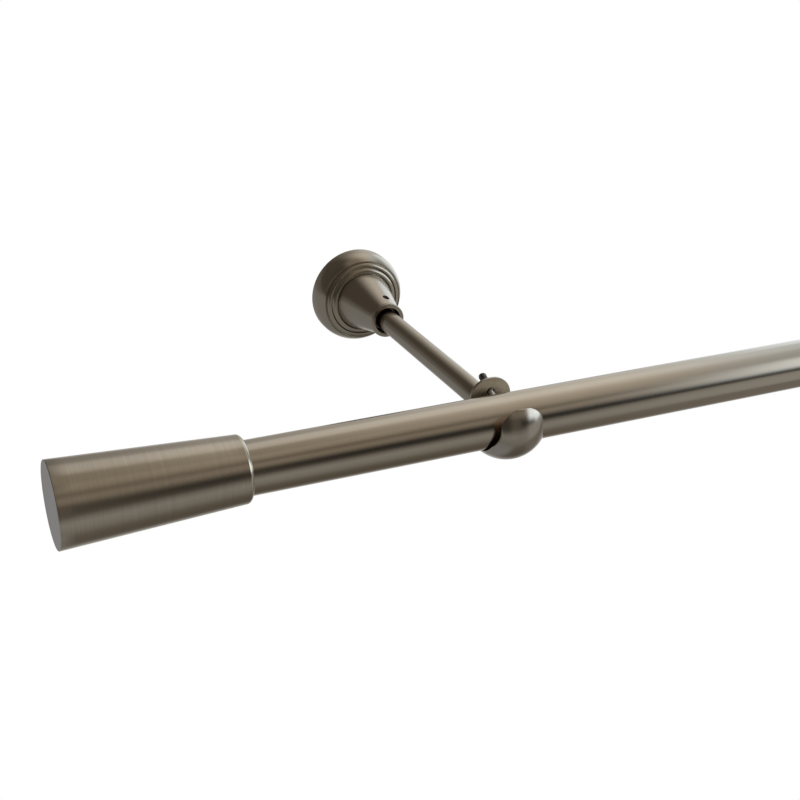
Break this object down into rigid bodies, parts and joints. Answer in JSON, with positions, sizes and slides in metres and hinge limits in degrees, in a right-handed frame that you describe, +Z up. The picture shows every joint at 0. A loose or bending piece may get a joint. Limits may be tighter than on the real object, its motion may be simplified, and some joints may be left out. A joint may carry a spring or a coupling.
{
  "type": "curtain rod",
  "caption": "Wall-mounted satin nickel curtain rod with cone finials, held in open cradles on straight arms with bell-shaped wall roses.",
  "frame": {"origin": "on the wall, midway between the two brackets, at the height of the arms", "axes": "+X along the rod, +Y into the wall, +Z up"},
  "size_m": [1.308, 0.2078, 0.054],
  "materials": {
    "rod_nickel": "satin, fine lengthwise brushing",
    "satin_nickel": "satin",
    "turned_nickel": "satin, fine turning lines",
    "nickel_casting": "polished satin casting",
    "zinc_casting": "plain tumbled zinc casting",
    "screw_steel": "dark nickel-plated steel"
  },
  "bodies": {
    "rod_and_brackets": {"tube": "rod_nickel", "left_wall_plate": "zinc_casting", "left_arm": "satin_nickel", "left_arm_screw": "screw_steel", "left_cradle": "nickel_casting", "left_cradle_screw": "screw_steel", "right_wall_plate": "zinc_casting", "right_arm": "satin_nickel", "right_arm_screw": "screw_steel", "right_cradle": "nickel_casting", "right_cradle_screw": "screw_steel"},
    "left_end": {"left_finial": "turned_nickel", "left_finial_screw": "screw_steel"},
    "left_cover": {"left_rose": "turned_nickel", "left_rose_screw": "screw_steel"},
    "left_clamp": {"left_clamp_screw": "screw_steel"},
    "right_end": {"right_finial": "turned_nickel", "right_finial_screw": "screw_steel"},
    "right_cover": {"right_rose": "turned_nickel", "right_rose_screw": "screw_steel"},
    "right_clamp": {"right_clamp_screw": "screw_steel"}
  },
  "joints": [
    {"name": "left_finial_pull", "type": "slide", "parent": "rod_and_brackets", "child": "left_end", "axis": [-1, 0, 0], "range_m": [0, 0.028]},
    {"name": "left_rose_slide", "type": "slide", "parent": "rod_and_brackets", "child": "left_cover", "axis": [0, -1, 0], "range_m": [0, 0.09]},
    {"name": "left_clamp_travel", "type": "slide", "parent": "rod_and_brackets", "child": "left_clamp", "axis": [0, 0.8988, 0.4384], "range_m": [0, 0.008]},
    {"name": "right_finial_pull", "type": "slide", "parent": "rod_and_brackets", "child": "right_end", "axis": [1, 0, 0], "range_m": [0, 0.028]},
    {"name": "right_rose_slide", "type": "slide", "parent": "rod_and_brackets", "child": "right_cover", "axis": [0, -1, 0], "range_m": [0, 0.09]},
    {"name": "right_clamp_travel", "type": "slide", "parent": "rod_and_brackets", "child": "right_clamp", "axis": [0, 0.8988, 0.4384], "range_m": [0, 0.008]}
  ]
}
